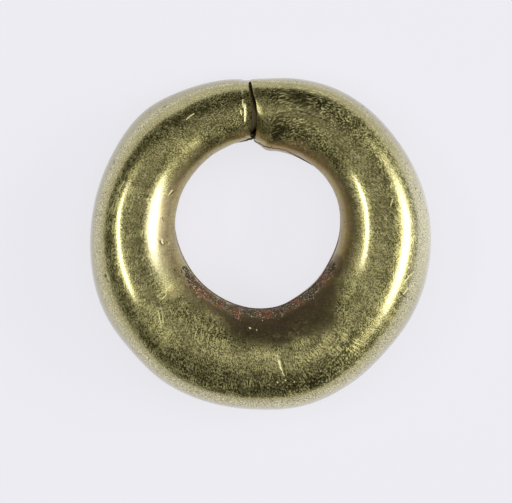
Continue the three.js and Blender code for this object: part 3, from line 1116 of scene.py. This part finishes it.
def makeGold(name, look):
    material, tree, shader = startMaterial(name)
    share, roughness, mirror = look["film"]
    bare = calculate(tree, "MAXIMUM", vertexMask(tree, "worn"), vertexMask(tree, "rusty"))
    film = times(tree, calculate(tree, "SUBTRACT", 1.0, bare), share)
    join(tree, film, shader, "Coat Weight")
    setSocket(shader, "Coat Roughness", roughness)
    setSocket(shader, "Coat IOR", mirror)
    place = addNode(tree, "TexCoord").outputs["Object"]

    pits = spread(tree, grain(tree, place, look["pitSize"], 1.0), *look["pitShare"])
    field = grain(tree, place, look["pitFieldSize"], turn=look["pitFieldTurn"])
    field = spread(tree, field, *look["pitField"])
    pits = times(tree, pits, times(tree, field, vertexMask(tree, "pitted")))
    flecks = texture(tree, "TexVoronoi", place, [look["fleckSize"] * toMetres] * 3)
    flecks = spread(tree, flecks.outputs["Distance"], *look["fleckShare"], 1, 0)
    flecks = times(tree, flecks, vertexMask(tree, "dustyPaintedReflection"))
    fine, strokes, depth = scratched(tree, place, look)
    light, dark, markDepth = markShares(tree, place)
    depth = calculate(tree, "SUBTRACT", depth, times(tree, pits, look["pitDepth"]))
    addBump(tree, shader, calculate(tree, "ADD", depth, markDepth))

    mottle = spread(tree, grain(tree, place, look["mottleSize"], 3.0), *look["mottleShare"])
    speckle = spread(tree, grain(tree, place, look["speckleSize"], 1.0), *look["speckleShare"])
    worn = times(tree, vertexMask(tree, "worn"), spread(tree, mottle, 0, 1, look["mottledWear"], 1))
    stain = times(tree, vertexMask(tree, "stained"), spread(tree, speckle, 0, 1, look["speckledStain"], 1))
    shine = times(tree, fine, look["fineShade"])
    shine = calculate(tree, "ADD", shine, times(tree, strokes, look["strokeShade"]), True)
    shine = times(tree, shine, spread(tree, stain, 0, 1, 1, look["scratchOnStain"]))
    # a fresh rough mark scatters light as a pale stone does, and so does rust; so do the lighter single
    # marks, painted glints
    scattering = calculate(tree, "ADD", light, times(tree, shine, look["scatter"]), True)
    rusted = times(tree, vertexMask(tree, "rusty"), look["rustScatter"])
    scattering = calculate(tree, "ADD", scattering, rusted, True)
    join(tree, calculate(tree, "SUBTRACT", look["metallic"], scattering, True), shader, "Metallic")

    color = blend(tree, shine, look["color"], look["freshAndPaintedGlintColor"])
    # haze, and a painted highlight: the spot is painted paler where the highlight lies
    hazy = times(tree, vertexMask(tree, "hazy"), look["hazePaintedHighlightShare"])
    color = blend(tree, hazy, color, look["hazePaintedHighlightColor"])
    worn = times(tree, worn, spread(tree, shine, 0, 1, 1, look["wearOnScratch"]))
    color = blend(tree, worn, color, look["boreColor"])
    streaks = spread(tree, grain(tree, place, look["streakSize"], 1.0), *look["streakShare"])
    # dust and a painted reflection of the pale table on the outer flank, streaked
    dustAndReflection = blend(tree, streaks, look["dustAndReflectionDark"], look["dustAndReflectionColor"])
    color = blend(tree, vertexMask(tree, "dustyPaintedReflection"), color, dustAndReflection)
    # painted shade: the outline painted darker
    color = blend(tree, vertexMask(tree, "edge"), color, look["paintedShadeEdgeColor"])
    # painted highlight: the right flank, towards the right lamp, painted paler
    lit = vertexMask(tree, "paintedHighlightEdge")
    color = blend(tree, lit, color, blend(tree, streaks, look["paintedHighlightDark"], look["paintedHighlightColor"]))
    crackle = grain(tree, place, look["crackleSize"], 1.0, look["crackleTurn"])
    crackle = spread(tree, crackle, *look["crackleShare"], look["crackleLeast"], 1)
    crackle = times(tree, vertexMask(tree, "frayed"), crackle)
    color = blend(tree, crackle, color, look["frayedColor"])
    rust = times(tree, vertexMask(tree, "rusty"), spread(tree, streaks, 0, 1, look["streakedRust"], 1))
    color = blend(tree, rust, color, look["rustColor"])
    color = blend(tree, stain, color, look["stainColor"])
    # painted glints of the lighter single marks
    color = blend(tree, light, color, look["freshAndPaintedGlintColor"])
    # pits, flecks, and the darker single marks with their painted shade
    color = blend(tree, addUpClamped(tree, pits, flecks, dark), color, look["pitColor"])
    join(tree, color, shader, "Base Color")

    rough = grain(tree, place, look["hazeSize"])
    rough = spread(tree, rough, *look["hazeShare"], look["polished"], look["hazed"])
    scratches = times(tree, strokes, look["rubbed"] - look["polished"])
    rough = calculate(tree, "ADD", rough, scratches)
    for mask, more in look["dulled"].items():
        rough = calculate(tree, "ADD", rough, times(tree, vertexMask(tree, mask), more), True)
    join(tree, rough, shader, "Roughness")
    return material


# The discs' gold is duller, seen only through the slit
discLook = dict(
    goldLook,
    color=(0.17, 0.135, 0.07, 1),
    freshAndPaintedGlintColor=(0.36, 0.30, 0.17, 1),
    metallic=0.45,
    polished=0.4,
)

paleGold = makeGold("paleGold", goldLook)
dullGold = makeGold("dullGold", discLook)


# The rod under the gold, copper alloy gone dull and red
rodLook = {
    "color": (0.30, 0.10, 0.06, 1),
    "dark": (0.10, 0.05, 0.035, 1),
    "metallic": 0.6,
    "roughness": 0.55,
    "blotchSize": 0.5,
    "blotchShare": (0.4, 0.6),
    "grit": [0.15, 2.0, 0.01],  # size, detail and depth
}
gritShare = (0.3, 0.7)  # of the noise that makes grit


def grit(tree, place, size, detail, depth):
    # a rough surface's height in mm
    return spread(tree, grain(tree, place, size, detail), *gritShare, -depth, depth)


def makeRodMetal(name, look):
    material, tree, shader = startMaterial(name)
    setSocket(shader, "Metallic", look["metallic"])
    setSocket(shader, "Roughness", look["roughness"])
    place = addNode(tree, "TexCoord").outputs["Object"]
    blotch = spread(tree, grain(tree, place, look["blotchSize"], 3.0), *look["blotchShare"])
    join(tree, blend(tree, blotch, look["color"], look["dark"]), shader, "Base Color")
    addBump(tree, shader, grit(tree, place, *look["grit"]))
    return material


rodMetal = makeRodMetal("rodMetal", rodLook)


# The crust: brick red, with green and pale grains
crustLook = {
    "red": (0.27, 0.085, 0.036, 1),
    "brown": (0.065, 0.046, 0.022, 1),
    "green": (0.085, 0.095, 0.052, 1),
    "pale": (0.55, 0.47, 0.34, 1),
    "roughness": 0.7,
    "gloss": 0.25,
    "redSize": 0.22,
    "redShare": (0.40, 0.62),
    "redLeast": 0.35,
    "greenSize": 0.16,
    "greenShare": (0.56, 0.62),
    "greenTurn": (30, 0, 70),
    "paleSize": 0.075,
    "paleShare": (0.61, 0.67),
    "paleTurn": (0, 50, 10),
    "grit": [0.05, 1.0, 0.006],  # size, detail and depth
}


def makeCrust(name, look):
    material, tree, shader = startMaterial(name)
    setSocket(shader, "Roughness", look["roughness"])
    setSocket(shader, "Specular IOR Level", look["gloss"])
    place = addNode(tree, "TexCoord").outputs["Object"]
    redder = spread(tree, grain(tree, place, look["redSize"], 2.0), *look["redShare"])
    redder = calculate(tree, "ADD", redder, look["redLeast"], True)
    redder = times(tree, redder, vertexMask(tree, "red"))
    green = spread(tree, grain(tree, place, look["greenSize"], 1.0, look["greenTurn"]), *look["greenShare"])
    pale = spread(tree, grain(tree, place, look["paleSize"], 0.0, look["paleTurn"]), *look["paleShare"])
    color = blend(tree, redder, look["brown"], look["red"])
    color = blend(tree, green, color, look["green"])
    color = blend(tree, pale, color, look["pale"])
    join(tree, color, shader, "Base Color")
    addBump(tree, shader, grit(tree, place, *look["grit"]))
    return material


crustStuff = makeCrust("crustStuff", crustLook)

for piece, node, material, slot in (
    (goldSheet, "gold_sheet", paleGold, "pale_gold"),
    (endDiscLeft, "end_disc_left", dullGold, "pale_gold"),
    (endDiscRight, "end_disc_right", dullGold, "pale_gold"),
    (coreRod, "core_rod", rodMetal, "core_metal"),
    (copperCrust, None, crustStuff, "core_metal"),
):
    piece.data.materials.append(material)
    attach(piece, "root")
    if node:
        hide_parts(node)


# The table, a plain pale board. Part of its paleness is its own, so that shadows on it stay faint.
tableLook = {"size": 12.0, "color": (0.855, 0.847, 0.896, 1), "roughness": 0.9, "ownShare": 0.84}


def makeTable():
    bpy.ops.mesh.primitive_plane_add(size=tableLook["size"], location=(0, 0, 0))
    table = bpy.context.object
    table.name = "table"
    material, tree, shader = startMaterial("paleTable")
    setSocket(shader, "Base Color", tableLook["color"])
    setSocket(shader, "Roughness", tableLook["roughness"])
    setSocket(shader, "Specular IOR Level", 0.0)
    rays = addNode(tree, "LightPath")
    seen = calculate(tree, "ADD", rays.outputs["Is Camera Ray"], rays.outputs["Is Glossy Ray"], True)
    seen = calculate(tree, "ADD", seen, rays.outputs["Is Transmission Ray"], True)
    glow = addNode(tree, "Emission")
    setSocket(glow, "Color", tableLook["color"])
    mix = addNode(tree, "MixShader")
    join(tree, times(tree, seen, tableLook["ownShare"]), mix, "Fac")
    tree.links.new(shader.outputs[0], mix.inputs[1])
    tree.links.new(glow.outputs[0], mix.inputs[2])
    tree.links.new(mix.outputs[0], tree.nodes["Material Output"].inputs["Surface"])
    table.data.materials.append(material)


makeTable()

# The lamps: a soft box on each side, and a broad one overhead that only fills the shadows. Tilt is from
# the camera's line, towards the photograph's right where clock is 0. A side box fades out towards its
# edges: [share of its half breadth that is fully bright, and of its half length].
lamps = {
    "rightBox": {
        "clock": 1.5, "tilt": 58.2, "distance": 0.40,
        "breadth": 0.190, "length": 0.50, "radiance": 9.2, "mirrored": True, "full": [0.10, 0.25],
    },
    "leftBox": {
        "clock": 179.4, "tilt": 40.3, "distance": 0.40,
        "breadth": 0.072, "length": 0.27, "radiance": 15.0, "mirrored": True, "full": [0.10, 0.25],
    },
    "fillBox": {
        "clock": 0, "tilt": 0, "distance": 0.70,
        "breadth": 0.8, "length": 0.8, "radiance": 1.6, "mirrored": False,
    },
}
# a dark room with a soft pale patch overhead, smaller the faster it falls off
worldLook = {"dark": (0.022, 0.022, 0.019, 1), "ceiling": (0.30, 0.29, 0.27, 1), "fall": 10.0}


def placed(across, up, out, place):
    # a turned and moved frame from its three axes
    columns = np.array([across, up, out, place]).T
    return Matrix([*columns.tolist(), [0, 0, 0, 1]])


def fadeEdges(data, full):
    # the lamp's own light, less bright towards its edges
    data.use_nodes = True
    tree = data.node_tree
    across = addNode(tree, "SeparateXYZ")
    join(tree, addNode(tree, "NewGeometry").outputs["Parametric"], across, "Vector")
    sides = []
    for socket, share in zip(("X", "Y"), full):
        away = calculate(tree, "ABSOLUTE", calculate(tree, "SUBTRACT", across.outputs[socket], 0.5))
        sides.append(spread(tree, away, share / 2, 0.5, 1, 0))
    join(tree, times(tree, *sides), tree.nodes["Emission"], "Strength")


def buildLamps():
    for name, lamp in lamps.items():
        data = bpy.data.lights.new(name, "AREA")
        data.shape = "RECTANGLE"
        data.size, data.size_y = lamp["breadth"], lamp["length"]
        data.energy = lamp["radiance"] * math.pi * lamp["breadth"] * lamp["length"]
        light = bpy.data.objects.new(name, data)
        tilt, clock = math.radians(lamp["tilt"]), math.radians(lamp["clock"])
        level = -viewRight * math.sin(clock) + viewUp * math.cos(clock)
        side = viewRight * math.cos(clock) + viewUp * math.sin(clock)
        way = side * math.sin(tilt) + viewAxis * math.cos(tilt)
        light.matrix_world = placed(np.cross(level, way), level, way, way * lamp["distance"])
        light.visible_glossy = lamp["mirrored"]
        if "full" in lamp:
            fadeEdges(data, lamp["full"])
        bpy.context.scene.collection.objects.link(light)


def buildRoom():
    world = bpy.data.worlds.new("studio")
    bpy.context.scene.world = world
    world.use_nodes = True
    tree = world.node_tree
    way = addNode(tree, "TexCoord").outputs["Generated"]
    overhead = addNode(tree, "VectorMath", operation="DOT_PRODUCT")
    tree.links.new(way, overhead.inputs[0])
    overhead.inputs[1].default_value = tuple(viewAxis)
    share = calculate(tree, "MAXIMUM", overhead.outputs["Value"], 0.0)
    share = calculate(tree, "POWER", share, worldLook["fall"])
    color = blend(tree, share, worldLook["dark"], worldLook["ceiling"])
    join(tree, color, tree.nodes["Background"], "Color")


buildLamps()
buildRoom()


def buildCamera():
    view = photoView
    data = bpy.data.cameras.new("overhead")
    data.sensor_width = view["sensor"]
    data.clip_start, data.clip_end = view["clip"]
    data.lens = view["sensor"] * view["distance"] / (view["pixelsAcross"] * pixelSize)
    camera = bpy.data.objects.new("overhead", data)
    camera.matrix_world = placed(viewRight, viewUp, viewAxis, cameraPlace() * toMetres)
    bpy.context.scene.collection.objects.link(camera)
    bpy.context.scene.camera = camera


buildCamera()
bpy.context.scene.view_settings.view_transform = "Standard"
